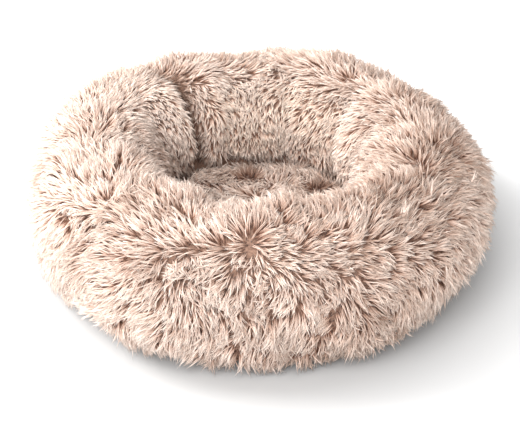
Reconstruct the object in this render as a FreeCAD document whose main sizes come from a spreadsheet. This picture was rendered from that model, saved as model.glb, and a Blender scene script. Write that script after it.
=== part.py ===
"""Round pet cushion bed: a stuffed shag bolster around a crowned sleeping cushion.

The bed stands on the XY plane with its centre on the Z axis, +Z up, in millimetres.
The soft pieces are turned about the Z axis. The underside is two half discs of base
cloth joined by a straight zip along the X axis.
"""
import FreeCAD, Part
import math
import os
import Sketcher

DIMENSIONS = {
    # bolster section: two arcs that meet at the crest
    "bolster_height": 198,
    "crest_radius": 192,
    "outer_curve": 102,
    "inner_curve": 80,
    "base_seam_angle": 64,
    "well_seam_angle": 35,
    "cover_thickness": 10,
    "panel_joint_angle": 135,
    "seam_gap_angle": 0.5,
    # inner bags
    "layer_gap": 0.5,
    "liner_thickness": 1,
    "liner_floor": 13,
    # centre cushion
    "cushion_top": 85,
    "cushion_crown": 520,
    "cushion_radius": 123.5,
    "cushion_cover_thickness": 8,
    "cushion_bag_radius": 132.5,
    # underside
    "dot_height": 1,
    "dot_radius": 5,
    "panel_radius": 235,
    "panel_thickness": 1.4,
    "panel_joint_gap": 0.3,
    "wadding_radius": 229,
    "wadding_bottom": 3.4,
    "wadding_thickness": 9.1,
    "slot_half_length": 192,
    "slot_half_width": 17,
    "binding_inner": 235.4,
    "binding_width": 3,
    "binding_bottom": 0.9,
    "binding_height": 2.2,
    "thread_radius": 0.35,
    "thread_gap": 0.05,
    "base_thread_ring": 232.5,
    "well_thread_ring": 124.6,
    "well_thread_height": 66,
    "cross_thread_depth": 5,
    "cross_thread_width": 0.5,
    # zip
    "zip_length": 360,
    "notch_half_length": 186,
    "notch_half_width": 6,
    "hem_width": 3,
    "hem_height": 2.2,
    "tape_bottom": 5,
    "tape_thickness": 0.6,
    "tape_width": 13.2,
    "tape_inner": 1.8,
    "coil_inner": 0.7,
    "coil_width": 2.7,
    "coil_height": 1.8,
    "stitch_width": 0.5,
    "stitch_height": 0.3,
    "stitch_row_near": 5.9,
    "stitch_row_far": 10.6,
    "slider_place": 166,
    "slider_length": 13,
    "slider_width": 9.6,
    "slider_bottom": 3.4,
    "slider_plate": 1.3,
    "slider_throat": 3.2,
    "slider_post_width": 0.9,
    "slider_post_length": 3,
    "flange_width": 0.8,
    "flange_drop": 1.8,
    "lug_inner": 2.3,
    "lug_thickness": 1,
    "lug_length": 2,
    "pin_height": 2.3,
    "pin_radius": 0.5,
    "pin_clearance": 0.1,
    "eye_radius": 0.85,
    "eye_hole_overrun": 1,
    "puller_length": 19,
    "puller_width": 4,
    "puller_thickness": 1.1,
    "stop_length": 2.5,
    "top_stop_gap": 1,
    "bottom_stop_inset": 5,
    # label
    "label_width": 28,
    "label_length": 20,
    "label_thickness": 0.5,
    "label_bottom": 1.6,
    "label_gap": 0.1,
    "label_angle": 112,
}

DOT_RINGS = ((70, 6), (140, 12), (205, 18))

# heights that several pieces share, as sheet expressions
OUTER_CENTRE = "(dims.bolster_height - dims.outer_curve)"
INNER_CENTRE = "(dims.bolster_height - dims.inner_curve)"
CROWN_CENTRE = "(dims.cushion_top - dims.cushion_crown)"
BAG_INSET = "(dims.cover_thickness + dims.layer_gap)"
COIL_BOTTOM = "(dims.tape_bottom + dims.tape_thickness)"
SLIDER_PLATE_TOP = "(dims.slider_bottom + dims.slider_plate)"
SLIDER_ROOF = f"({SLIDER_PLATE_TOP} + dims.slider_throat)"

doc = FreeCAD.newDocument("pet_cushion_bed")
sheet = doc.addObject("Spreadsheet::Sheet", "dims")
for row, (alias, size) in enumerate(DIMENSIONS.items(), start=1):
    sheet.set(f"A{row}", alias)
    sheet.set(f"B{row}", str(size))
    sheet.setAlias(f"B{row}", alias)
doc.recompute()

bodies = []


def number(expression):
    """The value that a sheet expression has now."""
    return float(sheet.evalExpression(expression))


def new_body(label):
    """An empty body; its label names the sub-part."""
    body = doc.addObject("PartDesign::Body", label)
    body.Label = label
    bodies.append(body)
    return body


def new_sketch(body, name, role):
    """A sketch on one of the body's own origin planes."""
    sketch = body.newObject("Sketcher::SketchObject", name)
    planes = [item for item in body.Origin.OriginFeatures if item.Role == role]
    sketch.AttachmentSupport = [(planes[0], "")]
    sketch.MapMode = "FlatFace"
    return sketch


def bind(sketch, kind, geometry, position, expression):
    """One coordinate of a point, held by a sheet expression."""
    index = sketch.addConstraint(Sketcher.Constraint(kind, geometry, position, number(expression)))
    sketch.setExpression(f"Constraints[{index}]", expression)


def add_edge(sketch, start, end, bend):
    """A line, or an arc where bend gives its centre, radius and turning sense."""
    first = FreeCAD.Vector(number(start[0]), number(start[1]), 0)
    last = FreeCAD.Vector(number(end[0]), number(end[1]), 0)
    if bend is None:
        return sketch.addGeometry(Part.LineSegment(first, last)), 1, 2
    centre = FreeCAD.Vector(number(bend[0]), number(bend[1]), 0)
    turns_left = bend[3] > 0
    low, high = (first, last) if turns_left else (last, first)
    low_angle = math.atan2(low.y - centre.y, low.x - centre.x)
    high_angle = math.atan2(high.y - centre.y, high.x - centre.x)
    if high_angle <= low_angle:
        high_angle += 2 * math.pi
    circle = Part.Circle(centre, FreeCAD.Vector(0, 0, 1), number(bend[2]))
    edge = sketch.addGeometry(Part.ArcOfCircle(circle, low_angle, high_angle))
    sketch_radius = sketch.addConstraint(Sketcher.Constraint("Radius", edge, number(bend[2])))
    sketch.setExpression(f"Constraints[{sketch_radius}]", bend[2])
    return (edge, 1, 2) if turns_left else (edge, 2, 1)


def draw_loop(sketch, corners, bends=None):
    """A closed outline through corners; bends maps an edge's number to its arc."""
    bends = bends or {}
    count = len(corners)
    edges = []
    for index, corner in enumerate(corners):
        following = corners[(index + 1) % count]
        edges.append(add_edge(sketch, corner, following, bends.get(index)))
    for index, (edge, start, end) in enumerate(edges):
        next_edge, next_start, _ = edges[(index + 1) % count]
        sketch.addConstraint(Sketcher.Constraint("Coincident", edge, end, next_edge, next_start))
        bind(sketch, "DistanceX", edge, start, corners[index][0])
        bind(sketch, "DistanceY", edge, start, corners[index][1])


def rectangle(left, right, low, high):
    """The four corners of a rectangle, from sheet expressions."""
    return [(left, low), (right, low), (right, high), (left, high)]


def revolve(body, sketch, angle="360"):
    """The sketch turned about the Z axis."""
    turned = body.newObject("PartDesign::Revolution", "turned")
    turned.Profile = sketch
    turned.ReferenceAxis = (sketch, ["V_Axis"])
    turned.Reversed = False
    turned.setExpression("Angle", angle)
    sketch.Visibility = False


def pad(body, sketch, length, name="pad", midplane=False):
    """The sketch padded along its normal."""
    padded = body.newObject("PartDesign::Pad", name)
    padded.Profile = sketch
    padded.Midplane = midplane
    padded.setExpression("Length", length)
    sketch.Visibility = False


def raise_to(body, height):
    """The body's origin lifted to a height held by the sheet."""
    body.setExpression("Placement.Base.z", height)


def turn_by(body, angle):
    """The body turned about the Z axis by an angle read from the sheet."""
    body.Placement = FreeCAD.Placement(body.Placement.Base, FreeCAD.Rotation(FreeCAD.Vector(0, 0, 1), 1))
    body.setExpression("Placement.Rotation.Angle", angle)


def box_feature(body, kind, name, low, size):
    """A box primitive with its low corner and its size as sheet expressions."""
    box = body.newObject(kind, name)
    for prop, expression in zip(("Length", "Width", "Height"), size):
        box.setExpression(prop, expression)
    for axis, expression in zip("xyz", low):
        box.setExpression(f"Placement.Base.{axis}", expression)


def cross_cylinder(body, kind, name, radius, length, place):
    """A cylinder primitive that lies along Y, centred on place."""
    rod = body.newObject(kind, name)
    rod.Placement = FreeCAD.Placement(FreeCAD.Vector(), FreeCAD.Rotation(FreeCAD.Vector(1, 0, 0), 90))
    rod.setExpression("Radius", radius)
    rod.setExpression("Height", length)
    rod.setExpression("Placement.Base.x", place[0])
    rod.setExpression("Placement.Base.y", f"{length} / 2")
    rod.setExpression("Placement.Base.z", place[1])


def section_point(curve, centre, angle, side):
    """A point of the bolster section, at an angle below the level of the arc's centre."""
    return (f"dims.crest_radius + {side} * {curve} * cos({angle})", f"{centre} - {curve} * sin({angle})")


def band_section(sketch, inset, thickness):
    """The bolster's cloth line from base seam over the crest to well seam, as a band."""
    outer_far = f"(dims.outer_curve - {inset})"
    inner_far = f"(dims.inner_curve - {inset})"
    outer_near = f"({outer_far} - {thickness})"
    inner_near = f"({inner_far} - {thickness})"
    corners = [
        section_point(outer_far, OUTER_CENTRE, "dims.base_seam_angle", 1),
        ("dims.crest_radius", f"dims.bolster_height - {inset}"),
        section_point(inner_far, INNER_CENTRE, "dims.well_seam_angle", -1),
        section_point(inner_near, INNER_CENTRE, "dims.well_seam_angle", -1),
        ("dims.crest_radius", f"dims.bolster_height - {inset} - {thickness}"),
        section_point(outer_near, OUTER_CENTRE, "dims.base_seam_angle", 1),
    ]
    bends = {
        0: ("dims.crest_radius", OUTER_CENTRE, outer_far, 1),
        1: ("dims.crest_radius", INNER_CENTRE, inner_far, 1),
        3: ("dims.crest_radius", INNER_CENTRE, inner_near, -1),
        4: ("dims.crest_radius", OUTER_CENTRE, outer_near, -1),
    }
    draw_loop(sketch, corners, bends)


def chamber_section(sketch, inset, floor):
    """The room inside the bolster, a given way in from its surface."""
    outer = f"(dims.outer_curve - {inset})"
    inner = f"(dims.inner_curve - {inset})"
    drop = f"({OUTER_CENTRE} - {floor})"
    seam = section_point(inner, INNER_CENTRE, "dims.well_seam_angle", -1)
    corners = [
        (f"dims.crest_radius + sqrt({outer}^2 - {drop}^2)", floor),
        ("dims.crest_radius", f"dims.bolster_height - {inset}"),
        seam,
        (seam[0], floor),
    ]
    bends = {
        0: ("dims.crest_radius", OUTER_CENTRE, outer, 1),
        1: ("dims.crest_radius", INNER_CENTRE, inner, 1),
    }
    draw_loop(sketch, corners, bends)


def crown_height(radius, inset):
    """Height of the cushion's crowned surface at a radius, a given way below its top."""
    return f"{CROWN_CENTRE} + sqrt((dims.cushion_crown - {inset})^2 - {radius}^2)"


def crown_arc(inset, sense):
    """The arc that crowns the cushion, a given way below its top."""
    return ("0", CROWN_CENTRE, f"dims.cushion_crown - {inset}", sense)


def make_bolster_cover(label, start_angle):
    """Half of the shag cover, from one cross seam to the other."""
    body = new_body(label)
    sketch = new_sketch(body, f"{label}_section", "XZ_Plane")
    band_section(sketch, "0", "dims.cover_thickness")
    revolve(body, sketch, "180 - dims.seam_gap_angle")
    turn_by(body, f"{start_angle} + dims.seam_gap_angle / 2")


def make_bolster_liner():
    """The thin inner bag that holds the bolster's fibre."""
    body = new_body("bolster_liner")
    sketch = new_sketch(body, "liner_section", "XZ_Plane")
    chamber_section(sketch, BAG_INSET, "dims.liner_floor")
    inside = f"({BAG_INSET} + dims.liner_thickness)"
    chamber_section(sketch, inside, "(dims.liner_floor + dims.liner_thickness)")
    revolve(body, sketch)


def make_bolster_fill():
    """The ring of polyester fibre."""
    body = new_body("bolster_fill")
    sketch = new_sketch(body, "fill_section", "XZ_Plane")
    inset = f"({BAG_INSET} + dims.liner_thickness + dims.layer_gap)"
    floor = "(dims.liner_floor + dims.liner_thickness + dims.layer_gap)"
    chamber_section(sketch, inset, floor)
    revolve(body, sketch)


def make_cushion_cover():
    """The shag disc that crowns the sleeping cushion."""
    body = new_body("cushion_cover")
    sketch = new_sketch(body, "cushion_cover_section", "XZ_Plane")
    edge = "dims.cushion_radius"
    depth = "dims.cushion_cover_thickness"
    corners = [
        ("0", f"dims.cushion_top - {depth}"),
        (edge, crown_height(edge, depth)),
        (edge, crown_height(edge, "0")),
        ("0", "dims.cushion_top"),
    ]
    draw_loop(sketch, corners, {0: crown_arc(depth, -1), 2: crown_arc("0", 1)})
    revolve(body, sketch)


def make_cushion_liner():
    """The thin inner bag of the sleeping cushion."""
    body = new_body("cushion_liner")
    sketch = new_sketch(body, "cushion_liner_section", "XZ_Plane")
    outside = "(dims.cushion_cover_thickness + dims.layer_gap)"
    inside = f"({outside} + dims.liner_thickness)"
    wall = "dims.cushion_bag_radius"
    inner_wall = "(dims.cushion_bag_radius - dims.liner_thickness)"
    floor = "dims.liner_floor"
    inner_floor = "(dims.liner_floor + dims.liner_thickness)"
    corners = [
        ("0", f"dims.cushion_top - {outside}"),
        ("0", f"dims.cushion_top - {inside}"),
        (inner_wall, crown_height(inner_wall, inside)),
        (inner_wall, inner_floor),
        ("0", inner_floor),
        ("0", floor),
        (wall, floor),
        (wall, crown_height(wall, outside)),
    ]
    draw_loop(sketch, corners, {1: crown_arc(inside, -1), 7: crown_arc(outside, 1)})
    revolve(body, sketch)


def make_cushion_fill():
    """The fibre pad inside the sleeping cushion."""
    body = new_body("cushion_fill")
    sketch = new_sketch(body, "cushion_fill_section", "XZ_Plane")
    inset = "(dims.cushion_cover_thickness + 2 * dims.layer_gap + dims.liner_thickness)"
    wall = "(dims.cushion_bag_radius - dims.liner_thickness - dims.layer_gap)"
    floor = "(dims.liner_floor + dims.liner_thickness + dims.layer_gap)"
    corners = [
        ("0", floor),
        (wall, floor),
        (wall, crown_height(wall, inset)),
        ("0", f"dims.cushion_top - {inset}"),
    ]
    draw_loop(sketch, corners, {2: crown_arc(inset, 1)})
    revolve(body, sketch)


def make_base_panel(label, turn):
    """Half of the base cloth, with a hemmed notch along the zip."""
    body = new_body(label)
    raise_to(body, "dims.dot_height")
    if turn:
        turn_by(body, turn)
    sketch = new_sketch(body, f"{label}_outline", "XY_Plane")
    gap = "dims.panel_joint_gap"
    reach = f"sqrt(dims.panel_radius^2 - {gap}^2)"
    corners = [
        (reach, gap),
        (f"-{reach}", gap),
        ("-dims.notch_half_length", gap),
        ("-dims.notch_half_length", "dims.notch_half_width"),
        ("dims.notch_half_length", "dims.notch_half_width"),
        ("dims.notch_half_length", gap),
    ]
    draw_loop(sketch, corners, {0: ("0", "0", "dims.panel_radius", 1)})
    pad(body, sketch, "dims.panel_thickness")
    box_feature(
        body, "PartDesign::AdditiveBox", f"{label}_hem",
        ("-dims.notch_half_length", "dims.notch_half_width", "dims.panel_thickness"),
        ("2 * dims.notch_half_length", "dims.hem_width", "dims.hem_height"),
    )


def make_base_wadding():
    """The wadding pad that stiffens the base, with a slot over the zip."""
    body = new_body("base_wadding")
    raise_to(body, "dims.wadding_bottom")
    sketch = new_sketch(body, "wadding_outline", "XY_Plane")
    disc = sketch.addGeometry(Part.Circle(FreeCAD.Vector(), FreeCAD.Vector(0, 0, 1), 100))
    sketch.addConstraint(Sketcher.Constraint("Coincident", disc, 3, -1, 1))
    radius = sketch.addConstraint(Sketcher.Constraint("Radius", disc, number("dims.wadding_radius")))
    sketch.setExpression(f"Constraints[{radius}]", "dims.wadding_radius")
    slot = rectangle(
        "-dims.slot_half_length", "dims.slot_half_length", "-dims.slot_half_width", "dims.slot_half_width"
    )
    draw_loop(sketch, slot)
    pad(body, sketch, "dims.wadding_thickness")


def make_anti_slip_dots():
    """Rubber dots printed under the base, in rings that miss the zip."""
    body = new_body("anti_slip_dots")
    body.AllowCompound = True
    sketch = new_sketch(body, "dot_places", "XY_Plane")
    for ring_radius, count in DOT_RINGS:
        step = 2 * math.pi / count
        for index in range(count):
            angle = (index + 0.5) * step
            centre = FreeCAD.Vector(ring_radius * math.cos(angle), ring_radius * math.sin(angle), 0)
            circle = Part.Circle(centre, FreeCAD.Vector(0, 0, 1), number("dims.dot_radius"))
            dot = sketch.addGeometry(circle)
            sketch.addConstraint(Sketcher.Constraint("DistanceX", dot, 3, centre.x))
            sketch.addConstraint(Sketcher.Constraint("DistanceY", dot, 3, centre.y))
            radius = sketch.addConstraint(Sketcher.Constraint("Radius", dot, circle.Radius))
            sketch.setExpression(f"Constraints[{radius}]", "dims.dot_radius")
    pad(body, sketch, "dims.dot_height")


def make_base_binding():
    """The tape that binds the edge of the base cloth."""
    body = new_body("base_binding")
    sketch = new_sketch(body, "binding_section", "XZ_Plane")
    outline = rectangle(
        "dims.binding_inner", "dims.binding_inner + dims.binding_width",
        "dims.binding_bottom", "dims.binding_bottom + dims.binding_height",
    )
    draw_loop(sketch, outline)
    revolve(body, sketch)


def make_ring_thread(label, ring, height):
    """A round of stitching."""
    body = new_body(label)
    raise_to(body, height)
    thread = body.newObject("PartDesign::AdditiveTorus", f"{label}_round")
    thread.setExpression("Radius1", ring)
    thread.setExpression("Radius2", "dims.thread_radius")


def make_cross_thread(label, angle):
    """The stitching that joins the two halves of the bolster cover."""
    body = new_body(label)
    turn_by(body, angle)
    sketch = new_sketch(body, f"{label}_line", "XZ_Plane")
    band_section(sketch, "dims.cross_thread_depth", "dims.cross_thread_width")
    pad(body, sketch, "dims.cross_thread_width", midplane=True)


def make_zip_tape(label, side):
    """One woven tape of the zip."""
    body = new_body(label)
    near = "dims.tape_inner" if side > 0 else "-dims.tape_inner - dims.tape_width"
    box_feature(
        body, "PartDesign::AdditiveBox", f"{label}_strip",
        ("-dims.zip_length / 2", near, "dims.tape_bottom"),
        ("dims.zip_length", "dims.tape_width", "dims.tape_thickness"),
    )


def make_zip_coil(label, side):
    """One coil of the zip, as the strip that its turns fill."""
    body = new_body(label)
    near = "dims.coil_inner" if side > 0 else "-dims.coil_inner - dims.coil_width"
    box_feature(
        body, "PartDesign::AdditiveBox", f"{label}_strip",
        ("-dims.zip_length / 2", near, COIL_BOTTOM),
        ("dims.zip_length", "dims.coil_width", "dims.coil_height"),
    )


def make_zip_stitching():
    """Two rows of stitching along each zip tape."""
    body = new_body("zip_stitching")
    body.AllowCompound = True
    sketch = new_sketch(body, "stitch_rows", "XY_Plane")
    half = "dims.zip_length / 2"
    for inset in ("dims.stitch_row_near", "dims.stitch_row_far"):
        row = f"(dims.tape_inner + {inset})"
        draw_loop(sketch, rectangle(f"-{half}", half, row, f"{row} + dims.stitch_width"))
        draw_loop(sketch, rectangle(f"-{half}", half, f"-{row} - dims.stitch_width", f"-{row}"))
    pad(body, sketch, "dims.stitch_height")
    raise_to(body, COIL_BOTTOM)


def make_zip_slider():
    """The slider: two plates on a post, with lugs and a pin for the puller."""
    body = new_body("zip_slider")
    half_length = "(dims.slider_length / 2)"
    half_width = "(dims.slider_width / 2)"
    back = f"dims.slider_place - {half_length}"
    plate = ("dims.slider_length", "dims.slider_width", "dims.slider_plate")
    add = "PartDesign::AdditiveBox"
    box_feature(body, add, "lower_plate", (back, f"-{half_width}", "dims.slider_bottom"), plate)
    box_feature(
        body, add, "post",
        (f"dims.slider_place + {half_length} - dims.slider_post_length", "-dims.slider_post_width / 2",
         "dims.slider_bottom"),
        ("dims.slider_post_length", "dims.slider_post_width",
         "2 * dims.slider_plate + dims.slider_throat"),
    )
    box_feature(body, add, "upper_plate", (back, f"-{half_width}", SLIDER_ROOF), plate)
    flanges = (("front_flange", f"-{half_width}"), ("back_flange", f"{half_width} - dims.flange_width"))
    for name, near in flanges:
        box_feature(
            body, add, name, (back, near, f"{SLIDER_ROOF} - dims.flange_drop"),
            ("dims.slider_length", "dims.flange_width", "dims.flange_drop + dims.slider_plate"),
        )
    lug_low = "(dims.pin_height - dims.lug_length / 2)"
    lugs = (("front_lug", "-dims.lug_inner - dims.lug_thickness"), ("back_lug", "dims.lug_inner"))
    for name, near in lugs:
        box_feature(
            body, add, name, ("dims.slider_place - dims.lug_length / 2", near, lug_low),
            ("dims.lug_length", "dims.lug_thickness", f"{SLIDER_PLATE_TOP} - {lug_low}"),
        )
    cross_cylinder(
        body, "PartDesign::AdditiveCylinder", "puller_pin", "dims.pin_radius",
        "(2 * dims.lug_inner + dims.lug_thickness)", ("dims.slider_place", "dims.pin_height"),
    )


def make_zip_puller():
    """The pull tab: a flat tongue with an eye around the slider's pin."""
    body = new_body("zip_puller")
    eye = ("dims.slider_place", "dims.pin_height")
    cross_cylinder(
        body, "PartDesign::AdditiveCylinder", "eye", "dims.eye_radius", "dims.puller_width", eye
    )
    box_feature(
        body, "PartDesign::AdditiveBox", "tongue",
        ("dims.slider_place - dims.puller_length", "-dims.puller_width / 2",
         "dims.pin_height - dims.puller_thickness / 2"),
        ("dims.puller_length", "dims.puller_width", "dims.puller_thickness"),
    )
    cross_cylinder(
        body, "PartDesign::SubtractiveCylinder", "eye_hole", "dims.pin_radius + dims.pin_clearance",
        "(dims.puller_width + dims.eye_hole_overrun)", eye,
    )


def make_zip_top_stops():
    """The pair of stops where the slider rests when the zip is shut."""
    body = new_body("zip_top_stops")
    body.AllowCompound = True
    place = "dims.slider_place + dims.slider_length / 2 + dims.top_stop_gap"
    stops = (("front_stop", "-dims.coil_inner - dims.coil_width"), ("back_stop", "dims.coil_inner"))
    for name, near in stops:
        box_feature(
            body, "PartDesign::AdditiveBox", name,
            (place, near, f"{COIL_BOTTOM} + dims.coil_height"),
            ("dims.stop_length", "dims.coil_width", "dims.slider_plate"),
        )


def make_zip_bottom_stop():
    """The stop across both coils at the open end."""
    body = new_body("zip_bottom_stop")
    box_feature(
        body, "PartDesign::AdditiveBox", "bar",
        ("-dims.zip_length / 2 + dims.bottom_stop_inset", "-dims.coil_inner - dims.coil_width",
         f"{COIL_BOTTOM} + dims.coil_height"),
        ("dims.stop_length", "2 * (dims.coil_inner + dims.coil_width)", "dims.slider_plate"),
    )


def make_care_label():
    """A blank label caught in the base seam at the back."""
    body = new_body("care_label")
    turn_by(body, "dims.label_angle")
    box_feature(
        body, "PartDesign::AdditiveBox", "label_cloth",
        ("dims.binding_inner + dims.binding_width + dims.label_gap", "-dims.label_width / 2",
         "dims.label_bottom"),
        ("dims.label_length", "dims.label_width", "dims.label_thickness"),
    )


def build():
    """Every sub-part, from the covers inwards and then down to the underside."""
    make_bolster_cover("bolster_cover_front", "dims.panel_joint_angle")
    make_bolster_cover("bolster_cover_back", "dims.panel_joint_angle - 180")
    make_cross_thread("cross_seam_left", "dims.panel_joint_angle")
    make_cross_thread("cross_seam_right", "dims.panel_joint_angle - 180")
    make_bolster_liner()
    make_bolster_fill()
    make_cushion_cover()
    make_cushion_liner()
    make_cushion_fill()
    make_ring_thread("well_seam_thread", "dims.well_thread_ring", "dims.well_thread_height")
    make_base_wadding()
    make_base_panel("base_panel_back", None)
    make_base_panel("base_panel_front", "180")
    make_anti_slip_dots()
    make_base_binding()
    make_ring_thread(
        "base_seam_thread", "dims.base_thread_ring",
        "dims.dot_height + dims.panel_thickness + dims.thread_radius + dims.thread_gap",
    )
    make_zip_tape("zip_tape_front", -1)
    make_zip_tape("zip_tape_back", 1)
    make_zip_coil("zip_coil_front", -1)
    make_zip_coil("zip_coil_back", 1)
    make_zip_stitching()
    make_zip_slider()
    make_zip_puller()
    make_zip_top_stops()
    make_zip_bottom_stop()
    make_care_label()
    doc.recompute()


def check():
    """Stops with a message if any object failed or any solid is bad."""
    for item in doc.Objects:
        if "Invalid" in item.State or "Error" in item.State:
            raise RuntimeError(f"{item.Label} failed: {item.State}")
    for body in bodies:
        if body.Shape.isNull() or not body.Shape.isValid() or not body.Shape.Solids:
            raise RuntimeError(f"{body.Label} has no valid solid")


def export():
    """One STEP file per sub-part."""
    os.makedirs("parts", exist_ok=True)
    for body in bodies:
        body.Shape.exportStep(f"parts/{body.Label}.step")
        box = body.Shape.BoundBox
        print(f"{body.Label:22} {len(body.Shape.Solids):3d} {body.Shape.Volume / 1000:10.2f} cm3 "
              f"x {box.XMin:.1f}..{box.XMax:.1f} y {box.YMin:.1f}..{box.YMax:.1f} "
              f"z {box.ZMin:.2f}..{box.ZMax:.2f}")


build()
check()
export()
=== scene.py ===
"""Looks of a round shag pet bed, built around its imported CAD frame. Metres, Z up.

The bolster and the cushion are stuffed skins with pile grown on them: locks of tapered
fibres that follow a combed field. The underside is cloth with grip dots and a zip.
"""
import math
import bpy
import numpy as np
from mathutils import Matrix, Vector
from mathutils.kdtree import KDTree


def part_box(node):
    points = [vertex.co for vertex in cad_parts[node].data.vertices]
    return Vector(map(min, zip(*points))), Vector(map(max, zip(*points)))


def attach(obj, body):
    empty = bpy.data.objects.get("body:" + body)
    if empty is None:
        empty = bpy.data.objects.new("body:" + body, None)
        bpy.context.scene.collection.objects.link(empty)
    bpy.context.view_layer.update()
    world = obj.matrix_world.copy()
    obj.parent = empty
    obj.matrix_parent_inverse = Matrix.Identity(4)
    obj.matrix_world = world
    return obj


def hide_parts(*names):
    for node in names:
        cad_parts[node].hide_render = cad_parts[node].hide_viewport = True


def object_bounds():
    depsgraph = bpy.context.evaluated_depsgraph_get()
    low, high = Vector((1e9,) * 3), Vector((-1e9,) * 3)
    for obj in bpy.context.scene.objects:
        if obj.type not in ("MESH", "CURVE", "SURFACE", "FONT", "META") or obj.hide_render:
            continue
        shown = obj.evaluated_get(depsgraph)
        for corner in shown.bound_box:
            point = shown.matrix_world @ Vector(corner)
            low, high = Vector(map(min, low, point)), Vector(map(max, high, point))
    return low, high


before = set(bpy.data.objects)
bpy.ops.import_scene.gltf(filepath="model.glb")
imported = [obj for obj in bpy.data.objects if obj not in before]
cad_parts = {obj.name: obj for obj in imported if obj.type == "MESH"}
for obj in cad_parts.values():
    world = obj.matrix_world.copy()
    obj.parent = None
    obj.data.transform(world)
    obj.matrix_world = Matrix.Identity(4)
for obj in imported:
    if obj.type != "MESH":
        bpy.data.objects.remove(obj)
cad_low, cad_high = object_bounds()
rng = np.random.default_rng(20417)

MM = 0.001
TAU = 2 * math.pi

# ---------------------------------------------------------------- sizes, from the frame
cover_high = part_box("bolster_cover_front")[1]
cushion_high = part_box("cushion_cover")[1]
panel_low, panel_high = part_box("base_panel_back")
coil_low, coil_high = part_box("zip_coil_back")

# the bolster's section is two arcs that meet at the crest
OUTER_CURVE = 102 * MM
INNER_CURVE = 80 * MM
BASE_ANGLE = math.radians(64)
WELL_ANGLE = math.radians(35)
CREST_RADIUS = (cad_high.x - cad_low.x) / 2 - OUTER_CURVE
OUTER_CENTRE = cover_high.z - OUTER_CURVE
INNER_CENTRE = cover_high.z - INNER_CURVE
CUSHION_RADIUS = cushion_high.x
CUSHION_TOP = cushion_high.z
CUSHION_CROWN = 15 * MM

# the skin lies this far inside the cover's outer face, and the pile stands on it
PILE_DEPTH = 9 * MM
SKIN_OUTER = OUTER_CURVE - PILE_DEPTH
SKIN_INNER = INNER_CURVE - PILE_DEPTH
OUTER_SWEEP = BASE_ANGLE + math.pi / 2
INNER_SWEEP = math.pi / 2 + WELL_ANGLE
OUTER_RUN = SKIN_OUTER * OUTER_SWEEP
WHOLE_RUN = OUTER_RUN + SKIN_INNER * INNER_SWEEP

# the filling has settled: the front is lower than the back, with a hump each side of a
# gather at the back (azimuth in degrees, width in degrees, lift in metres)
FRONT_SLUMP = 16 * MM
LEVEL_DROP = 4 * MM
HUMPS = (
    (128, 15, 9 * MM),
    (68, 13, 11 * MM),
    (98, 12, -7 * MM),
    (165, 18, 7 * MM),
    (-20, 16, -3 * MM),
)

# it also stands out more at four corners, and less between the front two (azimuth and width
# in degrees, push in metres)
SPREADS = (
    (148, 25, 19 * MM),
    (66, 15, 10 * MM),
    (-118, 18, 12 * MM),
    (-60, 16, 9 * MM),
    (-88, 12, -5 * MM),
)
BULGE = 2.6 * MM

# the section is fuller than an arc at its shoulders, most of all at the left back
SHOULDER = 6 * MM
BACK_SHOULDER = 4 * MM
BACK_SHOULDER_AZIMUTH = 155

# gathers pull the skin in along a meridian: azimuth and width in degrees, depth in the
# well and depth outside
GATHERS = (
    (131, 5, 30 * MM, 4 * MM),
    (110, 4.5, 9 * MM, 2 * MM),
    (163, 6, 8 * MM, 3 * MM),
    (74, 6, 7 * MM, 2 * MM),
    (38, 7, 9 * MM, 3 * MM),
    (8, 6, 7 * MM, 2 * MM),
    (-28, 7, 8 * MM, 4 * MM),
    (-47, 6, 12 * MM, 5 * MM),
    (-75, 7, 6 * MM, 3 * MM),
    (-108, 7, 8 * MM, 4 * MM),
    (-140, 7, 8 * MM, 3 * MM),
    (-172, 7, 9 * MM, 3 * MM),
)
ROUND_STEPS = 300
SECTION_STEPS = 92

# from the well seam the bolster's skin goes down and closes under the bed (radius, height)
BASE_LEVEL = 14 * MM
WELL_WALL = CUSHION_RADIUS + 12 * MM
UNDERSIDE = (
    (WELL_WALL, 50 * MM),
    (WELL_WALL, BASE_LEVEL),
    (170 * MM, 13.5 * MM),
    (222 * MM, 13 * MM),
)
SIMULATION_STEPS = 20
MOST_INFLATION = 9 * MM

CUSHION_RINGS = 36
CUSHION_SPOKES = 120
CUSHION_HUB = 0.02
CUSHION_OVERLAP = 4 * MM
CUSHION_BULGE = 3 * MM

# pile
PILE_LENGTH = 26 * MM
FIBRES_PER_LOCK = 3
FIBRE_WIDTH = 1.05 * MM
LOCK_SPREAD = 2.2 * MM
LOCK_JITTER = 0.26
BEND_SHARE = 0.46
TIP_SPREAD = 0.12
ROOT_SINK = 0.5 * MM

# tips stay off the floor and near the CAD box, each at its own distance
FLOOR_CLEARANCE = 1.2 * MM
FLOOR_STAGGER = 5 * MM
CEILING = cad_high.z + 14 * MM
SIDE_LIMIT = cad_high.x + 25 * MM
LIMIT_STAGGER = 4 * MM

BOLSTER_LOCKS = 43500
CUSHION_LOCKS = 3850
LOCKS_PER_TUFT = 24
SECTORS = 14

# the pile parts along the crest, at this share of the way from base seam to well seam
PARTING = 0.57
PARTING_WIDTH = 0.11

# whorls: places that the pile lies away from: azimuth in degrees, share of the way over
# the bolster, reach in metres, strength
WHORLS = (
    (-93, 0.50, 0.050, 1.1),
    (50, 0.62, 0.045, 1.4),
)
# along the crest the pile drifts away from the front whorl, both ways round
DRIFT_START = -90

# the tufts are wildest at the front and on the right (azimuth and width in degrees)
WILD_AZIMUTH = -62
WILD_WIDTH = 75
TUFT_TURN = 0.42

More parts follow.
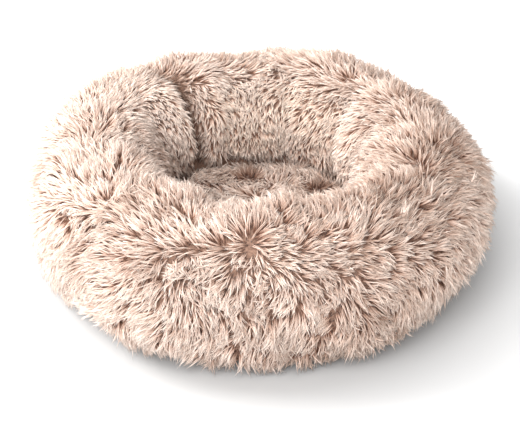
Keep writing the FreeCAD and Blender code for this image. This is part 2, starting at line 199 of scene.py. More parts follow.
# painted light and shade in the bolster's tone: paler on the side towards the key light
# and at the back of the well as painted light; darker on the far side, in the well, along the
# crest, in the crease of the deepest gather and at the well seam as painted shade
LIT_SIDE_AZIMUTH = 165
PAINTED_LIGHT_SIDE = 0.14
PAINTED_LIGHT_BACK = 0.46
PAINTED_SHADE_WELL = 0.04
PAINTED_SHADE_CREST = 0.08
CREASE_AZIMUTH = 131
CREASE_WIDTH = 5
PAINTED_SHADE_CREASE = 0.9
PAINTED_SHADE_SEAM = 0.4

# partings of the cushion's pile (x, y), how far they comb it and how wide the painted shade spreads
# where their roots show
CUSHION_PARTINGS = ((80 * MM, 40 * MM), (-15 * MM, 62 * MM))
PARTING_REACH = 26 * MM
PARTING_SHADE_WIDTH = 11 * MM

FLOOR_SIZE = 16
PAINTED_SHADOW_SCALE = 0.4
CAMERA_ELEVATION = 30.5
CAMERA_DISTANCE = 1.62
CAMERA_TARGET_HEIGHT = 0.075
CAMERA_LENS = 84
CAMERA_SHIFT = -0.0155


# ---------------------------------------------------------------- arithmetic on rows of points
def make_waves(count, longest, shortest, seed):
    """Random plane waves that add up to smooth noise over space."""
    source = np.random.default_rng(seed)
    direction = source.normal(size=(count, 3))
    direction /= np.linalg.norm(direction, axis=1, keepdims=True)
    length = np.exp(source.uniform(math.log(shortest), math.log(longest), count))
    return direction * (TAU / length)[:, None], source.uniform(0, TAU, count)


def noise(points, waves):
    """Smooth noise of about unit spread at each point."""
    vectors, phases = waves
    return np.sin(points @ vectors.T + phases).sum(1) * math.sqrt(2 / len(phases))


def unit(vectors):
    """Each row at length one."""
    return vectors / np.maximum(np.linalg.norm(vectors, axis=1, keepdims=True), 1e-9)


def smooth(low, high, values):
    """0 at low, 1 at high, eased between."""
    part = np.clip((values - low) / (high - low), 0, 1)
    return part * part * (3 - 2 * part)


def turn_from(azimuth, middle):
    """Degrees from middle to each azimuth, the short way round."""
    return (np.degrees(azimuth) - middle + 180) % 360 - 180


def near(distance, width):
    """1 where distance is 0, and fading away over width."""
    return np.exp(-(distance / width) ** 2)


def polar(radius, azimuth, height):
    """Points at a radius, an azimuth and a height."""
    height = height + np.zeros_like(azimuth)
    return np.stack([radius * np.cos(azimuth), radius * np.sin(azimuth), height], -1)


BULGES = make_waves(18, 0.34, 0.12, 5)
MEANDER = make_waves(26, 0.17, 0.05, 31)
FLUTTER = make_waves(40, 0.05, 0.018, 32)
PATCHES = make_waves(20, 0.20, 0.05, 33)
HEIGHTS = make_waves(24, 0.09, 0.03, 34)
TUFTS = make_waves(10, 0.15, 0.06, 9)


# ---------------------------------------------------------------- meshes
def new_mesh(name, points, faces, smooth_faces=True):
    """A mesh object from arrays of points and of faces that all have the same number of sides."""
    mesh = bpy.data.meshes.new(name)
    sides = faces.shape[1]
    mesh.vertices.add(len(points))
    mesh.vertices.foreach_set("co", np.ascontiguousarray(points, np.float32).ravel())
    mesh.loops.add(faces.size)
    mesh.loops.foreach_set("vertex_index", np.ascontiguousarray(faces, np.int32).ravel())
    mesh.polygons.add(len(faces))
    mesh.polygons.foreach_set("loop_start", np.arange(0, faces.size, sides, dtype=np.int32))
    mesh.update(calc_edges=True)
    mesh.polygons.foreach_set("use_smooth", np.full(len(faces), smooth_faces))
    piece = bpy.data.objects.new(name, mesh)
    bpy.context.scene.collection.objects.link(piece)
    return piece


def read_points(mesh):
    """The points of a mesh as an array."""
    flat = np.empty(len(mesh.vertices) * 3, np.float32)
    mesh.vertices.foreach_get("co", flat)
    return flat.reshape(-1, 3).astype(float)


def grid_faces(rows, columns):
    """Quads of a grid of points whose last row joins its first."""
    row = np.arange(rows)
    column = np.arange(columns - 1)
    first = (row[:, None] * columns + column[None, :]).ravel()
    following = (((row + 1) % rows)[:, None] * columns + column[None, :]).ravel()
    return np.stack([first, following, following + 1, first + 1], 1)


def to_triangles(quads):
    """Each quad as two triangles."""
    return np.concatenate([quads[:, [0, 1, 2]], quads[:, [0, 2, 3]]])


def tile(points, faces, count):
    """The faces of count copies of one small mesh whose points follow one another."""
    return (np.arange(count)[:, None, None] * points + faces[None]).reshape(-1, faces.shape[1])


def tube_faces(rings, sides, pointed=False):
    """Triangles of a tube of rings of points; its far end is flat, or one more point as a tip."""
    faces = []
    for ring in range(rings - 1):
        for corner in range(sides):
            low = ring * sides + corner
            beside = ring * sides + (corner + 1) % sides
            faces.append((low, beside, beside + sides))
            faces.append((low, beside + sides, low + sides))
    last = (rings - 1) * sides
    for corner in range(1, sides - 1):
        faces.append((0, corner + 1, corner))
        if not pointed:
            faces.append((last, last + corner, last + corner + 1))
    if pointed:
        for corner in range(sides):
            faces.append((last + corner, last + (corner + 1) % sides, rings * sides))
    return np.array(faces)


# ---------------------------------------------------------------- the stuffed skins
def section(share):
    """Radius, height and slope of the skin, from base seam (0) over the crest to well seam (1)."""
    run = share * WHOLE_RUN
    outside = run < OUTER_RUN
    outer_angle = run / SKIN_OUTER - BASE_ANGLE
    inner_angle = math.pi / 2 + (run - OUTER_RUN) / SKIN_INNER
    angle = np.where(outside, outer_angle, inner_angle)
    size = np.where(outside, SKIN_OUTER, SKIN_INNER)
    centre = np.where(outside, OUTER_CENTRE, INNER_CENTRE)
    return CREST_RADIUS + size * np.cos(angle), centre + size * np.sin(angle), angle


def settle(azimuth, height):
    """How far the settled filling lifts or lowers the skin."""
    lift = -LEVEL_DROP - FRONT_SLUMP * (0.5 - 0.5 * np.sin(azimuth)) ** 1.5
    for middle, width, rise in HUMPS:
        lift += rise * near(turn_from(azimuth, middle), width)
    return lift * smooth(0.06, 0.17, height)


def bolster_points(azimuth, share):
    """Points of the bolster's skin before its cloth simulation."""
    radius, height, angle = section(share)
    way = np.stack([np.cos(azimuth), np.sin(azimuth)], 1)
    for middle, width, push_out in SPREADS:
        reach = near(turn_from(azimuth, middle), width)
        radius = radius + push_out * reach * smooth(0.75, 0.5, share) * smooth(0, 0.15, share)
    flat = np.column_stack([way * radius[:, None], height + settle(azimuth, height)])
    normal = np.column_stack([way * np.cos(angle)[:, None], np.sin(angle)])
    push = noise(flat, BULGES) * BULGE
    full = SHOULDER + BACK_SHOULDER * np.cos(np.radians(turn_from(azimuth, BACK_SHOULDER_AZIMUTH)))
    push += full * np.sin(2 * angle) ** 2 * smooth(0, 0.12, share) * smooth(0.7, 0.5, share)
    inside = smooth(0.42, 0.8, share)
    outside = smooth(0.5, 0.15, share)
    for middle, width, deep_in, deep_out in GATHERS:
        valley = near(turn_from(azimuth, middle), width)
        push -= valley * (inside * deep_in + outside * deep_out)
    return flat + normal * push[:, None]


def inflate(piece, pinned):
    """Cloth simulation of a stuffed skin, with its result applied and each point's move capped."""
    start = read_points(piece.data)
    group = piece.vertex_groups.new(name="seams")
    group.add([int(index) for index in pinned], 1.0, "REPLACE")
    modifier = piece.modifiers.new("Cloth", "CLOTH")
    settings = modifier.settings
    settings.quality = 5
    settings.mass = 0.25
    settings.tension_stiffness = 12
    settings.compression_stiffness = 12
    settings.shear_stiffness = 4
    settings.bending_stiffness = 0.3
    settings.air_damping = 2
    settings.vertex_group_mass = "seams"
    settings.use_pressure = True
    settings.uniform_pressure_force = 4
    settings.shrink_min = -0.05
    settings.effector_weights.gravity = 0
    modifier.collision_settings.use_collision = False
    scene = bpy.context.scene
    for step in range(1, SIMULATION_STEPS + 1):
        scene.frame_set(step)
    graph = bpy.context.evaluated_depsgraph_get()
    moved = read_points(piece.evaluated_get(graph).data) - start
    piece.modifiers.remove(modifier)
    scene.frame_set(1)
    far = np.linalg.norm(moved, axis=1, keepdims=True)
    moved *= np.minimum(1, MOST_INFLATION / np.maximum(far, 1e-9))
    piece.data.vertices.foreach_set("co", (start + moved).astype(np.float32).ravel())
    piece.data.update()


def make_bolster_skin():
    """The bolster's cloth as a closed ring; its last columns close it underneath."""
    azimuth = np.arange(ROUND_STEPS) * TAU / ROUND_STEPS
    share = np.linspace(0, 1, SECTION_STEPS)
    wide_azimuth, wide_share = np.meshgrid(azimuth, share, indexing="ij")
    upper = bolster_points(wide_azimuth.ravel(), wide_share.ravel())
    upper = upper.reshape(ROUND_STEPS, SECTION_STEPS, 3)
    under = [polar(radius, azimuth, height) for radius, height in UNDERSIDE]
    points = np.concatenate([upper, np.stack(under, 1)], 1)
    columns = points.shape[1]
    row = np.arange(ROUND_STEPS)
    start = row * columns
    following = ((row + 1) % ROUND_STEPS) * columns
    closing = np.stack([start + columns - 1, following + columns - 1, following, start], 1)
    faces = np.concatenate([grid_faces(ROUND_STEPS, columns), closing])
    piece = new_mesh("bolster_skin", points.reshape(-1, 3), faces)
    column = np.arange(ROUND_STEPS * columns) % columns
    inflate(piece, np.flatnonzero((column < 2) | (column >= SECTION_STEPS - 1)))
    return piece, columns


def make_cushion_skin():
    """The cushion's crowned cloth, with a flat underside."""
    azimuth = np.arange(CUSHION_SPOKES) * TAU / CUSHION_SPOKES
    reach = np.linspace(CUSHION_HUB, 1, CUSHION_RINGS) * (CUSHION_RADIUS + CUSHION_OVERLAP)
    wide_azimuth, wide_reach = np.meshgrid(azimuth, reach, indexing="ij")
    top = CUSHION_TOP - PILE_DEPTH - CUSHION_CROWN * (wide_reach / CUSHION_RADIUS) ** 2
    points = polar(wide_reach, wide_azimuth, top).reshape(-1, 3)
    points[:, 2] += noise(points, TUFTS) * CUSHION_BULGE
    points = points.reshape(CUSHION_SPOKES, CUSHION_RINGS, 3)
    rim = points[:, -1]
    edge = rim * [1, 1, 0] + [0, 0, BASE_LEVEL]
    hub = rim * [CUSHION_HUB, CUSHION_HUB, 0] + [0, 0, BASE_LEVEL]
    points = np.concatenate([points, edge[:, None], hub[:, None]], 1)
    columns = points.shape[1]
    faces = grid_faces(CUSHION_SPOKES, columns)
    return new_mesh("cushion_skin", points.reshape(-1, 3), faces), columns


# ---------------------------------------------------------------- pile
class Ground:
    """A skin that pile grows from: points, triangles, normals, and its ways around and across."""

    def __init__(self, piece, rows, columns, last):
        self.points = read_points(piece.data)
        grid = self.points.reshape(rows, columns, 3)
        around = np.roll(grid, -1, 0) - np.roll(grid, 1, 0)
        across = np.gradient(grid, axis=1)
        self.around = unit(around.reshape(-1, 3))
        self.across = unit(across.reshape(-1, 3))
        self.normals = unit(np.cross(self.around, self.across))
        self.columns = columns
        quads = grid_faces(rows, columns)
        self.faces = to_triangles(quads[(quads[:, 3] % columns) < last])
        corner = self.points[self.faces]
        edge = np.cross(corner[:, 1] - corner[:, 0], corner[:, 2] - corner[:, 0])
        self.area = np.linalg.norm(edge, axis=1) / 2

    def sample(self, count):
        """Roots spread evenly over the area: place, normal, around, across, and share across."""
        steps = (np.arange(count) + rng.random(count)) / count * self.area.sum()
        chosen = np.searchsorted(np.cumsum(self.area), steps).clip(0, len(self.area) - 1)
        first = rng.random(count)
        second = rng.random(count)
        over = first + second > 1
        first[over] = 1 - first[over]
        second[over] = 1 - second[over]
        parts = np.stack([1 - first - second, first, second], 1)[:, :, None]
        corners = self.faces[chosen]
        columns = (corners % self.columns)[:, :, None]
        picked = [
            (values[corners] * parts).sum(1)
            for values in (self.points, self.normals, self.around, self.across)
        ]
        share = (columns * parts).sum(1)[:, 0] / (SECTION_STEPS - 1)
        return picked[0], unit(picked[1]), unit(picked[2]), unit(picked[3]), share


# a fibre's rings of points, as shares of its length and of its width
RINGS = (0.0, 0.36, 0.72)
RING_WIDTH = (0.75, 1.0, 0.72)
SIDES = 3


def gather_tufts(place):
    """The tuft that each lock belongs to, and the way from the lock to the middle of its tuft."""
    middles = place[rng.permutation(len(place))[:len(place) // LOCKS_PER_TUFT]]
    tree = KDTree(len(middles))
    for index, middle in enumerate(middles):
        tree.insert(middle, index)
    tree.balance()
    tuft = np.array([tree.find(spot)[1] for spot in place])
    return len(middles), tuft, middles[tuft] - place


def grow_locks(name, place, normal, comb, length, tone_light_and_shade, rise, lean):
    """Locks of pile: fibres that start apart and draw together at their lock's bent tip."""
    locks = len(place)
    side = unit(np.cross(normal, comb))
    stray_turn = rng.normal(0, LOCK_JITTER, locks)[:, None]
    comb = unit(comb + side * stray_turn)
    side = unit(np.cross(normal, comb))
    lift = (rng.uniform(0.45, 1.5, locks) * rise)[:, None]
    first = unit(normal * lift + comb * 0.75)
    droop = (rng.uniform(-0.05, 0.6, locks) * rise)[:, None]
    wander = rng.normal(0, 0.3, locks)[:, None]
    second = unit(normal * droop + comb + side * wander)

    def each(values):
        return np.repeat(values, FIBRES_PER_LOCK, axis=0)

    total = locks * FIBRES_PER_LOCK
    turn = rng.uniform(0, TAU, total)[:, None]
    out = (np.sqrt(rng.random(total)) * LOCK_SPREAD)[:, None]
    offset = (each(comb) * np.cos(turn) + each(side) * np.sin(turn)) * out
    reach = (each(length) * rng.uniform(0.78, 1.08, total))[:, None]
    root = each(place) + offset - each(normal) * ROOT_SINK
    bend = each(place) + offset * 0.8 + each(first) * reach * BEND_SHARE + each(lean) * 0.4
    stray = rng.normal(0, 1, (total, 3)) * reach * 0.035 + each(lean)
    way = each(first) * BEND_SHARE + each(second) * (1 - BEND_SHARE)
    tip = each(place) + offset * TIP_SPREAD + way * reach + stray
    floor = FLOOR_CLEARANCE + rng.uniform(0, FLOOR_STAGGER, total)
    ceiling = CEILING - rng.uniform(0, LIMIT_STAGGER, total)
    side_limit = (SIDE_LIMIT - rng.uniform(0, LIMIT_STAGGER, total))[:, None]
    for point in (bend, tip):
        point[:, 2] = np.clip(point[:, 2], floor, ceiling)
        point[:, :2] = np.clip(point[:, :2], -side_limit, side_limit)
    axis = unit(tip - root)
    flat = unit(np.cross(axis, each(normal)))
    deep = np.cross(flat, axis)
    half = (FIBRE_WIDTH * rng.uniform(0.75, 1.25, total) / 2)[:, None]
    rings = []
    for share, scale in zip(RINGS, RING_WIDTH):
        middle = root * (1 - share) ** 2 + bend * 2 * share * (1 - share) + tip * share ** 2
        for corner in range(SIDES):
            angle = TAU * corner / SIDES + math.pi / 2
            rings.append(middle + (flat * math.cos(angle) + deep * math.sin(angle)) * half * scale)
    rings.append(tip)
    points = np.stack(rings, 1)
    pattern = tube_faces(len(RINGS), SIDES, pointed=True)
    piece = new_mesh(name, points.reshape(-1, 3), tile(points.shape[1], pattern, total))
    along = np.array([share for share in RINGS for _ in range(SIDES)] + [1.0])
    shade = np.clip(each(tone_light_and_shade) + rng.normal(0, 0.06, total), 0.01, 0.99)
    layer = piece.data.uv_layers.new(name="OFBake")
    corner_along = np.tile(along[pattern].ravel(), total)
    corner_uv = np.stack([np.repeat(shade, pattern.size), corner_along], 1)
    layer.data.foreach_set("uv", corner_uv.astype(np.float32).ravel())
    return piece


def comb_bolster(place, normal, around, across, share):
    """The way that the bolster's pile lies at each root."""
    azimuth = np.arctan2(place[:, 1], place[:, 0])
    ridge = PARTING + 0.06 * np.sin(azimuth)
    fall = np.tanh((share - ridge + 0.02 * noise(place, PATCHES)) / PARTING_WIDTH)
    loose = 1 - np.abs(fall)
    swing = noise(place, MEANDER) * 0.42 + noise(place, FLUTTER) * 0.22
    drift = np.tanh(3 * np.sin(azimuth - math.radians(DRIFT_START)))
    well = smooth(0.66, 0.76, share)
    swing *= 1 - 0.55 * well
    sideways = swing + drift * (0.25 - 0.17 * well + 0.9 * loose)
    comb = across * fall[:, None] + around * sideways[:, None]
    for degrees, where, reach, strength in WHORLS:
        radius, height, _ = section(np.array([where]))
        angle = np.array([math.radians(degrees)])
        away = place - polar(radius, angle, height + settle(angle, height))
        pull = near(np.linalg.norm(away, axis=1), reach) * strength
        comb += unit(away) * pull[:, None]
    comb -= normal * (comb * normal).sum(1)[:, None]
    return unit(comb)


def lock_tone(place, middle=0.5):
    """How light each lock is, from broad patches and its own chance."""
    return middle + 0.05 * noise(place, PATCHES) + rng.normal(0, 0.1, len(place))


def lock_length(place):
    """How long each lock is."""
    return PILE_LENGTH * (1 + 0.10 * noise(place, HEIGHTS)) * rng.uniform(0.82, 1.15, len(place))


def dress_bolster(skin, columns):
    """The bolster's pile, in one piece for each sector of the ring."""
    ground = Ground(skin, ROUND_STEPS, columns, SECTION_STEPS - 1)
    place, normal, around, across, share = ground.sample(BOLSTER_LOCKS)
    comb = comb_bolster(place, normal, around, across, share)
    length = lock_length(place)
    tone_light_and_shade = lock_tone(place)
    rise = 1 - 0.25 * smooth(0.5, 0.8, share)
    azimuth = np.arctan2(place[:, 1], place[:, 0])
    count, tuft, inward = gather_tufts(place)
    wild = 0.35 + 0.65 * near(turn_from(azimuth, WILD_AZIMUTH), WILD_WIDTH)
    side = np.cross(normal, comb)
    comb = unit(comb + side * (rng.normal(0, TUFT_TURN, count)[tuft] * wild)[:, None])
    length *= 1 + wild * rng.uniform(-0.16, 0.16, count)[tuft]
    rise *= 1 + wild * rng.uniform(-0.4, 0.4, count)[tuft]
    tone_light_and_shade += wild * rng.normal(0, 0.05, count)[tuft]
    lean = inward * (wild * rng.uniform(0.2, 0.75, count)[tuft])[:, None]
    crease = near(turn_from(azimuth, CREASE_AZIMUTH), CREASE_WIDTH) * smooth(0.58, 0.68, share)
    seam = smooth(0.93, 0.985, share)
    well = smooth(0.64, 0.8, share)
    crest = near(share - PARTING, 0.1)
    # painted light and shade in the locks' tone: paler towards the key light and at the back of the
    # well, darker on the far side, in the well, along the crest, in the crease and at the well seam
    tone_light_and_shade += PAINTED_LIGHT_SIDE * np.cos(azimuth - math.radians(LIT_SIDE_AZIMUTH)) * (1 - well)
    tone_light_and_shade += (PAINTED_LIGHT_BACK * np.sin(azimuth).clip(0, 1) - PAINTED_SHADE_WELL) * well
    tone_light_and_shade -= PAINTED_SHADE_CREST * crest + PAINTED_SHADE_CREASE * crease + PAINTED_SHADE_SEAM * seam
    length *= 1 - 0.45 * crease - 0.22 * well
    sector = (azimuth % TAU / TAU * SECTORS).astype(int)
    pieces = []
    for index in range(SECTORS):
        pick = sector == index
        name = f"bolster_pile_{index + 1:02d}"
        part = [values[pick] for values in (place, normal, comb, length, tone_light_and_shade, rise, lean)]
        pieces.append(grow_locks(name, *part))
    return pieces


def dress_cushion(skin, columns):
    """The cushion's pile."""
    ground = Ground(skin, CUSHION_SPOKES, columns, CUSHION_RINGS - 1)
    ground.normals = np.tile([0.0, 0.0, 1.0], (len(ground.points), 1))
    place, normal, around, across, _ = ground.sample(CUSHION_LOCKS)
    angle = noise(place, MEANDER) * 1.6 + noise(place, FLUTTER) * 0.5
    comb = unit(around * np.sin(angle)[:, None] + across * np.cos(angle)[:, None])
    # the cushion's pile is set darker than the bolster's, as painted shade deep in the well
    tone_light_and_shade = lock_tone(place, 0.32)
    for x, y in CUSHION_PARTINGS:
        away = (place - [x, y, 0]) * [1, 1, 0]
        far = np.linalg.norm(away, axis=1)
        comb = unit(comb + unit(away) * 2.5 * near(far, PARTING_REACH)[:, None])
        # painted shade at each parting, where the pile opens down to its roots
        tone_light_and_shade -= 0.5 * near(far, PARTING_SHADE_WIDTH)
    count, tuft, inward = gather_tufts(place)
    rise = 0.9 + rng.uniform(-0.3, 0.3, count)[tuft]
    lean = inward * rng.uniform(0.2, 0.5, count)[tuft][:, None]
    length = lock_length(place) * 0.9
    return grow_locks("cushion_pile", place, normal, comb, length, tone_light_and_shade, rise, lean)


# ---------------------------------------------------------------- underside
def make_grip_dots():
    """Small domed rubber dots printed on the base cloth in a triangular grid."""
    pitch = 22 * MM
    row_pitch = pitch * math.sqrt(3) / 2
    radius = 3.2 * MM
    rise = panel_low.z
    reach = panel_high.x - 12 * MM
    zip_clearance = 9 * MM
    spots = []
    rows = int(reach / row_pitch)
    columns = int(reach / pitch) + 1
    for row in range(-rows, rows + 1):
        y = (row + 0.5) * row_pitch
        for column in range(-columns, columns + 1):
            x = (column + (row % 2) / 2) * pitch
            if math.hypot(x, y) < reach and abs(y) > zip_clearance:
                spots.append((x, y, 0))
    spots = np.array(spots)
    sides = 18
    angle = np.arange(sides) * TAU / sides
    profile = ((1.0, -0.1), (0.93, 0.45), (0.7, 0.85))
    rim = [polar(radius * share, angle, rise * (1 - depth)) for share, depth in profile]
    dot = np.concatenate(rim + [[[0, 0, 0]], [[0, 0, rise * 1.1]]])
    faces = []
    for side in range(sides):
        beside = (side + 1) % sides
        for ring in range(2):
            low = ring * sides
            faces.append((low + side, low + sides + side, low + sides + beside))
            faces.append((low + side, low + sides + beside, low + beside))
        faces.append((2 * sides + side, 3 * sides, 2 * sides + beside))
        faces.append((side, beside, 3 * sides + 1))
    points = (spots[:, None] + dot[None]).reshape(-1, 3)
    return new_mesh("grip_dots", points, tile(len(dot), np.array(faces), len(spots)))


def make_tube(name, path, radius, sides=5):
    """A closed-ended tube of round section along a path of points."""
    count = len(path)
    axis = unit(np.gradient(path, axis=0))
    side = unit(np.cross(axis, np.tile([0.0, 0.31, 0.95], (count, 1))))
    deep = np.cross(side, axis)
    angle = (np.arange(sides) * TAU / sides)[None, :, None]
    ring = side[:, None] * np.cos(angle) + deep[:, None] * np.sin(angle)
    points = (path[:, None] + ring * radius).reshape(-1, 3)
    return new_mesh(name, points, tube_faces(count, sides))


def make_zip_coil(name, side):
    """One nylon coil: flattened turns that fill the CAD strip."""
    turns = 200
    steps_per_turn = 10
    steps = turns * steps_per_turn
    wire = 0.32 * MM
    angle = np.arange(steps + 1) / steps_per_turn * TAU * side
    middle_y = side * (coil_low.y + coil_high.y) / 2
    middle_z = (coil_low.z + coil_high.z) / 2
    half_y = (coil_high.y - coil_low.y) / 2 - wire
    half_z = (coil_high.z - coil_low.z) / 2 - wire
    x = np.linspace(coil_low.x + wire, coil_high.x - wire, steps + 1)
    y = middle_y + half_y * np.cos(angle)
    z = middle_z + half_z * np.sin(angle)
    return make_tube(name, np.column_stack([x, y, z]), wire)


def make_base_stitches():
    """Lockstitches round the edge of the base cloth, on its underside."""
    count = 380
    radius = panel_high.x - 4 * MM
    half = 1.5 * MM
    thick = 0.28 * MM
    level = panel_low.z - 0.1 * MM
    sides = 5
    azimuth = (np.arange(count) + 0.5) * TAU / count
    azimuth = azimuth[np.abs(np.sin(azimuth)) > 0.02]
    middle = polar(radius, azimuth, level)
    out = polar(1, azimuth, 0)
    ahead = polar(1, azimuth + TAU / 4, 0)
    up = np.array([[0.0, 0.0, 1.0]])
    stations = ((-1, 0.35), (-0.6, 1.0), (0.6, 1.0), (1, 0.35))
    rings = []
    for place, size in stations:
        dip = (1 - size) * 0.5 * MM
        for corner in range(sides):
            angle = TAU * corner / sides
            swell = (out * math.cos(angle) + up * math.sin(angle)) * thick * size
            rings.append(middle + ahead * half * place + up * dip + swell)
    points = np.stack(rings, 1)
    faces = tile(points.shape[1], tube_faces(len(stations), sides), len(azimuth))
    return new_mesh("base_stitches", points.reshape(-1, 3), faces)


# ---------------------------------------------------------------- materials
def linear(red, green, blue):
    """A display colour, 0 to 255, as a linear colour."""
    part = []
    for level in (red, green, blue):
        share = level / 255
        part.append(share / 12.92 if share <= 0.04045 else ((share + 0.055) / 1.055) ** 2.4)
    return (*part, 1.0)


def new_material(name, roughness, sheen=0.0, metallic=0.0):
    """A material, its node tree and its Principled shader."""
    material = bpy.data.materials.new(name)
    material.use_nodes = True
    shader = material.node_tree.nodes["Principled BSDF"]
    shader.inputs["Roughness"].default_value = roughness
    shader.inputs["Sheen Weight"].default_value = sheen
    shader.inputs["Metallic"].default_value = metallic
    return material, material.node_tree, shader


def add_ramp(tree, source, stops):
    """A colour ramp fed by a socket; stops are (position, display colour)."""
    node = tree.nodes.new("ShaderNodeValToRGB")
    ramp = node.color_ramp
    ramp.elements[0].position = stops[0][0]
    ramp.elements[0].color = linear(*stops[0][1])
    ramp.elements[1].position = stops[-1][0]
    ramp.elements[1].color = linear(*stops[-1][1])
    for position, colour in stops[1:-1]:
        ramp.elements.new(position).color = linear(*colour)
    tree.links.new(source, node.inputs["Fac"])
    return node.outputs["Color"]


def add_noise(tree, scale, detail=3.0):
    """Noise in the object's own space."""
    place = tree.nodes.new("ShaderNodeTexCoord")
    node = tree.nodes.new("ShaderNodeTexNoise")
    node.inputs["Scale"].default_value = scale
    node.inputs["Detail"].default_value = detail
    tree.links.new(place.outputs["Object"], node.inputs["Vector"])
    return node.outputs["Fac"]


def add_wave(tree, scale, direction):
    """Straight bands in the object's own space."""
    place = tree.nodes.new("ShaderNodeTexCoord")
    node = tree.nodes.new("ShaderNodeTexWave")
    node.bands_direction = direction
    node.inputs["Scale"].default_value = scale
    node.inputs["Distortion"].default_value = 0.4
    node.inputs["Detail"].default_value = 1
    node.inputs["Detail Scale"].default_value = 2
    tree.links.new(place.outputs["Object"], node.inputs["Vector"])
    return node.outputs["Fac"]


def combine(tree, kind, first, second):
    """The two sockets combined by a Math node."""
    node = tree.nodes.new("ShaderNodeMath")
    node.operation = kind
    tree.links.new(first, node.inputs[0])
    tree.links.new(second, node.inputs[1])
    return node.outputs[0]


def add_bump(tree, shader, height, strength, distance):
    """Bump from a height socket."""
    node = tree.nodes.new("ShaderNodeBump")
    node.inputs["Strength"].default_value = strength
    node.inputs["Distance"].default_value = distance
    tree.links.new(height, node.inputs["Height"])
    tree.links.new(node.outputs["Normal"], shader.inputs["Normal"])


def pile_material():
    """Pile: taupe roots, blush lengths and cream tips, the darker roots partly the fibre's own
    colour and partly painted shade deep in the pile; each lock has its own tone, which also carries
    painted light and shade.
    """
    material, tree, shader = new_material("shag_pile", 0.6, 0.3)
    shader.inputs["Specular IOR Level"].default_value = 0.2
    shader.inputs["Sheen Roughness"].default_value = 0.5
    shader.inputs["Sheen Tint"].default_value = linear(255, 240, 230)
    layer = tree.nodes.new("ShaderNodeUVMap")
    layer.uv_map = "OFBake"
    split = tree.nodes.new("ShaderNodeSeparateXYZ")
    tree.links.new(layer.outputs["UV"], split.inputs["Vector"])
    # along each fibre: darker towards the root, partly the fibre's own colour and partly painted
    # shade deep in the pile
    along = add_ramp(tree, split.outputs["Y"], (
        (0.0, (108, 68, 50)), (0.2, (162, 120, 98)), (0.4, (228, 206, 194)),
        (0.64, (251, 241, 235)), (1.0, (254, 251, 248)),
    ))
    # each lock's tone, dark to cream: random tone plus the painted light and shade set on the locks
    tone_light_and_shade = add_ramp(tree, split.outputs["X"], (
        (0.02, (148, 122, 106)), (0.3, (208, 190, 178)),
        (0.6, (241, 231, 224)), (0.95, (255, 246, 236)),
    ))
    mix = tree.nodes.new("ShaderNodeMix")
    mix.data_type = "RGBA"
    mix.blend_type = "MULTIPLY"
    mix.inputs["Factor"].default_value = 1.0
    tree.links.new(along, mix.inputs["A"])
    tree.links.new(tone_light_and_shade, mix.inputs["B"])
    tree.links.new(mix.outputs["Result"], shader.inputs["Base Color"])
    return material


def backing_material():
    """The knitted backing under the pile, its dark colour partly the knit's own and partly painted
    shade for the gaps between the locks.
    """
    material, tree, shader = new_material("plush_backing", 0.9, 0.1)
    # partly the knit's colour, partly painted shade that shows through the gaps between the locks
    colour = add_ramp(tree, add_noise(tree, 420), ((0.3, (112, 84, 70)), (0.7, (152, 120, 102))))
    tree.links.new(colour, shader.inputs["Base Color"])
    return material


def cloth_material(name, dark, light, threads, strength=0.5):
    """Plain-woven cloth: two crossed rows of threads with slubs."""
    material, tree, shader = new_material(name, 0.85, 0.15)
    warp = add_wave(tree, threads, "X")
    weft = add_wave(tree, threads, "Y")
    weave = combine(tree, "MULTIPLY", warp, weft)
    slub = add_noise(tree, 60)
    shade = combine(tree, "MULTIPLY", combine(tree, "ADD", weave, slub), slub)
    colour = add_ramp(tree, shade, ((0.1, dark), (0.9, light)))
    tree.links.new(colour, shader.inputs["Base Color"])
    add_bump(tree, shader, weave, strength, 0.3 * MM)
    return material


def plastic_material(name, dark, light, roughness):
    """Moulded or drawn plastic with a faint mottle."""
    material, tree, shader = new_material(name, roughness)
    grain = add_noise(tree, 900)
    tree.links.new(add_ramp(tree, grain, ((0.3, dark), (0.7, light))), shader.inputs["Base Color"])
    add_bump(tree, shader, grain, 0.15, 0.1 * MM)
    return material


def metal_material():
    """Satin nickel with fine wear."""
    material, tree, shader = new_material("satin_nickel", 0.32, metallic=1.0)
    wear = add_noise(tree, 2600, 5)
    colour = add_ramp(tree, wear, ((0.3, (184, 178, 170)), (0.7, (202, 197, 189))))
    tree.links.new(colour, shader.inputs["Base Color"])
    add_bump(tree, shader, wear, 0.1, 0.05 * MM)
    return material


def dress(piece, material):
    """Gives a piece its material and its slot, and lets it ride on the bed."""
    piece.data.materials.clear()
    piece.data.materials.append(material)
    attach(piece, "bed")


def repaint(material, *nodes):
    """A better material on CAD nodes that stay."""
    for node in nodes:
        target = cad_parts[node]
        if not target.material_slots:
            target.data.materials.append(material)
        for item in target.material_slots:
            item.material = material


# ---------------------------------------------------------------- light, floor and camera
def make_area(name, place, size, power, colour):
    """A soft square light that faces the bed."""
    data = bpy.data.lights.new(name, "AREA")
    data.shape = "SQUARE"
    data.size = size
    data.energy = power
    data.color = colour
    light = bpy.data.objects.new(name, data)
    bpy.context.scene.collection.objects.link(light)
    light.location = place
    facing = Vector((0, 0, 0.1)) - Vector(place)
    light.rotation_euler = facing.to_track_quat("-Z", "Y").to_euler()


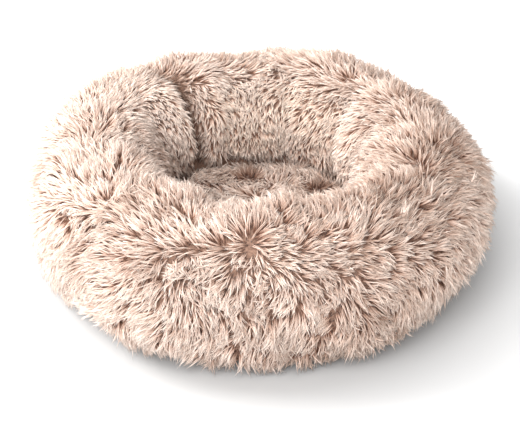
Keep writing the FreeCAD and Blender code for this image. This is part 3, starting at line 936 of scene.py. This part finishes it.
def make_stage():
    """Pale floor with a painted shadow that greys it round the bed, a low light at the left, a
    front fill, a white surround.
    """
    edge = FLOOR_SIZE / 2
    points = np.array([[-edge, -edge, 0], [edge, -edge, 0], [edge, edge, 0], [-edge, edge, 0]])
    floor = new_mesh("floor", points, np.array([[0, 1, 2, 3]]), smooth_faces=False)
    material, tree, shader = new_material("floor_paper_painted_shadow", 0.9)
    place = tree.nodes.new("ShaderNodeTexCoord")
    spread = tree.nodes.new("ShaderNodeMapping")
    spread.inputs["Scale"].default_value = (PAINTED_SHADOW_SCALE, PAINTED_SHADOW_SCALE, PAINTED_SHADOW_SCALE)
    distance = tree.nodes.new("ShaderNodeTexGradient")
    distance.gradient_type = "SPHERICAL"
    tree.links.new(place.outputs["Object"], spread.inputs["Vector"])
    tree.links.new(spread.outputs["Vector"], distance.inputs["Vector"])
    # painted shadow: the floor greys towards the bed and is white further out
    stops = ((0.77, (255, 255, 255)), (0.88, (186, 186, 186)))
    shade = add_ramp(tree, distance.outputs["Fac"], stops)
    tree.links.new(shade, shader.inputs["Base Color"])
    floor.data.materials.append(material)
    world = bpy.data.worlds.new("studio")
    world.use_nodes = True
    background = world.node_tree.nodes["Background"]
    background.inputs["Color"].default_value = (1, 1, 1, 1)
    background.inputs["Strength"].default_value = 0.97
    bpy.context.scene.world = world
    bpy.context.scene.view_settings.view_transform = "Standard"
    make_area("key", (-2.2, 0.5, 1.45), 1.4, 104, (1.0, 0.99, 0.98))
    make_area("fill", (-0.7, -2.2, 1.95), 2.2, 106, (1.0, 1.0, 1.0))


def make_camera():
    """The camera, at the photograph's height and distance."""
    data = bpy.data.cameras.new("camera")
    data.lens = CAMERA_LENS
    data.sensor_width = 36
    data.shift_y = CAMERA_SHIFT
    camera = bpy.data.objects.new("camera", data)
    bpy.context.scene.collection.objects.link(camera)
    elevation = math.radians(CAMERA_ELEVATION)
    target = Vector((0, 0, CAMERA_TARGET_HEIGHT))
    way = Vector((0, -math.cos(elevation), math.sin(elevation)))
    camera.location = target + way * CAMERA_DISTANCE
    camera.rotation_euler = (target - camera.location).to_track_quat("-Z", "Y").to_euler()
    bpy.context.scene.camera = camera


def build():
    """Every piece of the bed, then its stage."""
    bolster_skin, skin_columns = make_bolster_skin()
    cushion_skin, cushion_columns = make_cushion_skin()
    pile = pile_material()
    for piece in dress_bolster(bolster_skin, skin_columns):
        dress(piece, pile)
    dress(dress_cushion(cushion_skin, cushion_columns), pile)
    backing = backing_material()
    dress(bolster_skin, backing)
    dress(cushion_skin, backing)
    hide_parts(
        "bolster_cover_front", "bolster_cover_back", "bolster_liner", "bolster_fill",
        "cross_seam_left", "cross_seam_right", "base_wadding",
    )
    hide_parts("cushion_cover", "cushion_liner", "cushion_fill", "well_seam_thread")

    thread = cloth_material("sewing_thread", (150, 124, 108), (198, 172, 154), 900)
    coil = plastic_material("coil_nylon", (150, 130, 116), (176, 156, 142), 0.4)
    stitches = make_base_stitches()
    dress(stitches, thread)
    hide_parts("base_seam_thread")
    rubber = plastic_material("grip_rubber", (206, 196, 186), (226, 218, 208), 0.7)
    dots = make_grip_dots()
    dress(dots, rubber)
    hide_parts("anti_slip_dots")
    for name, side in (("zip_coil_front", -1), ("zip_coil_back", 1)):
        turns = make_zip_coil(f"{name}_turns", side)
        dress(turns, coil)
        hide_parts(name)
    oxford = cloth_material("base_oxford", (112, 92, 78), (150, 128, 112), 420)
    binding = cloth_material("binding_twill", (104, 84, 71), (138, 116, 101), 560)
    tape = cloth_material("zip_tape_twill", (126, 106, 92), (164, 142, 126), 620)
    satin = cloth_material("label_satin", (222, 216, 208), (244, 240, 234), 900, 0.2)
    repaint(oxford, "base_panel_back", "base_panel_front")
    repaint(binding, "base_binding")
    repaint(tape, "zip_tape_front", "zip_tape_back")
    repaint(thread, "zip_stitching")
    repaint(metal_material(), "zip_slider", "zip_puller", "zip_top_stops", "zip_bottom_stop")
    repaint(satin, "care_label")
    make_stage()
    make_camera()


build()
